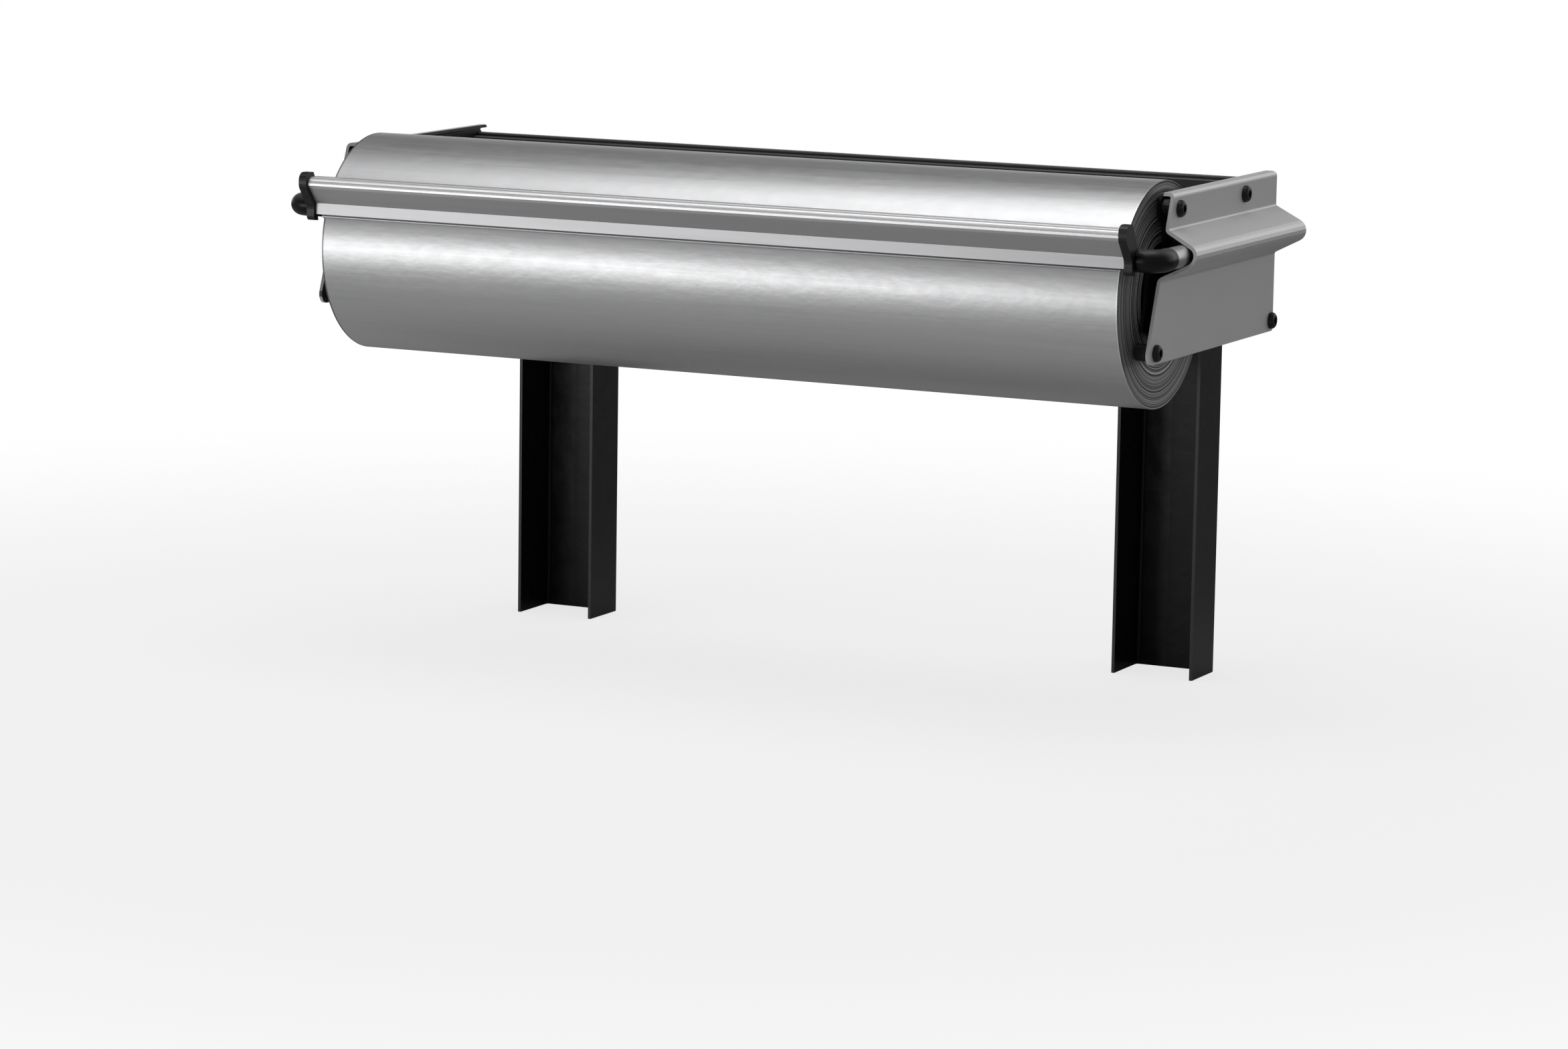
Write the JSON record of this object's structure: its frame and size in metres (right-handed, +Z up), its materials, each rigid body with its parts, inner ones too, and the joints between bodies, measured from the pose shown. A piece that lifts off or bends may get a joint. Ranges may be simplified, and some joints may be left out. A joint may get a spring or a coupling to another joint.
{
  "type": "roll dispenser",
  "caption": "Wide film roll dispenser on two channel posts, with folded side panels and a spring-loaded serrated cutter bar on sliding arms.",
  "frame": {"origin": "midway between the two posts, on the plane of their rear faces, level with their lower ends", "axes": "+X along the roll to the viewer's right, +Y backward away from the cutter bar, +Z up"},
  "size_m": [0.6, 0.2576, 0.3258],
  "materials": {
    "side_panel_paint": "satin silver-grey powder coat",
    "black_steel": "satin black coat",
    "black_aluminium": "black anodised extrusion",
    "screw_black": "black oxide",
    "black_plastic": "moulded matte black",
    "bar_aluminium": "satin anodised extrusion",
    "blade_steel": "ground steel strip",
    "tube_steel": "bright drawn tube",
    "spring_steel": "drawn wire",
    "film_silver": "metallised film wound on a roll",
    "core_board": "wound board core"
  },
  "bodies": {
    "frame": {"arm_guide_left": "black_plastic", "arm_guide_right": "black_plastic", "inner_plate_left": "black_steel", "inner_plate_right": "black_steel", "outer_panel_left": "side_panel_paint", "outer_panel_right": "side_panel_paint", "post_bolt_inner_left": "screw_black", "post_bolt_inner_right": "screw_black", "post_bolt_outer_left": "screw_black", "post_bolt_outer_right": "screw_black", "post_bracket_left": "black_steel", "post_bracket_right": "black_steel", "post_left": "black_steel", "post_right": "black_steel", "rail_bolt_left": "screw_black", "rail_bolt_right": "screw_black", "rail_screw_lower_left": "screw_black", "rail_screw_lower_right": "screw_black", "rail_screw_upper_left": "screw_black", "rail_screw_upper_right": "screw_black", "rear_rail": "black_aluminium", "return_spring_left": "spring_steel", "return_spring_right": "spring_steel", "screw_lower_front_left": "screw_black", "screw_lower_front_right": "screw_black", "screw_lower_rear_left": "screw_black", "screw_lower_rear_right": "screw_black", "screw_upper_front_left": "screw_black", "screw_upper_front_right": "screw_black", "screw_upper_rear_left": "screw_black", "screw_upper_rear_right": "screw_black", "spacer_lower_front_left": "black_plastic", "spacer_lower_front_right": "black_plastic", "spacer_lower_rear_left": "black_plastic", "spacer_lower_rear_right": "black_plastic", "spacer_upper_front_left": "black_plastic", "spacer_upper_front_right": "black_plastic", "spacer_upper_rear_left": "black_plastic", "spacer_upper_rear_right": "black_plastic", "spring_anchor_left": "spring_steel", "spring_anchor_right": "spring_steel"},
    "cutter": {"arm_elbow_left": "black_plastic", "arm_elbow_right": "black_plastic", "arm_tube_left": "tube_steel", "arm_tube_right": "tube_steel", "cutter_bar": "bar_aluminium", "end_cap_left": "black_plastic", "end_cap_right": "black_plastic", "serrated_blade": "blade_steel", "spring_pin_left": "spring_steel", "spring_pin_right": "spring_steel", "tube_glide_left": "black_plastic", "tube_glide_right": "black_plastic"},
    "roll": {"axle": "tube_steel", "core_tube": "core_board", "film_roll": "film_silver", "roll_hub_left": "black_plastic", "roll_hub_right": "black_plastic"}
  },
  "joints": [
    {"name": "cutter_slide", "type": "slide", "parent": "frame", "child": "cutter", "axis": [0, -1, 0], "range_m": [0, 0.06], "stiffness_N_per_m": 300, "springref_m": -0.05, "deforming": ["return_spring_left", "return_spring_right"]},
    {"name": "roll_spin", "type": "hinge", "parent": "frame", "child": "roll", "pos_m": [0, -0.1778, 0.2578], "axis": [1, 0, 0], "continuous": true}
  ]
}
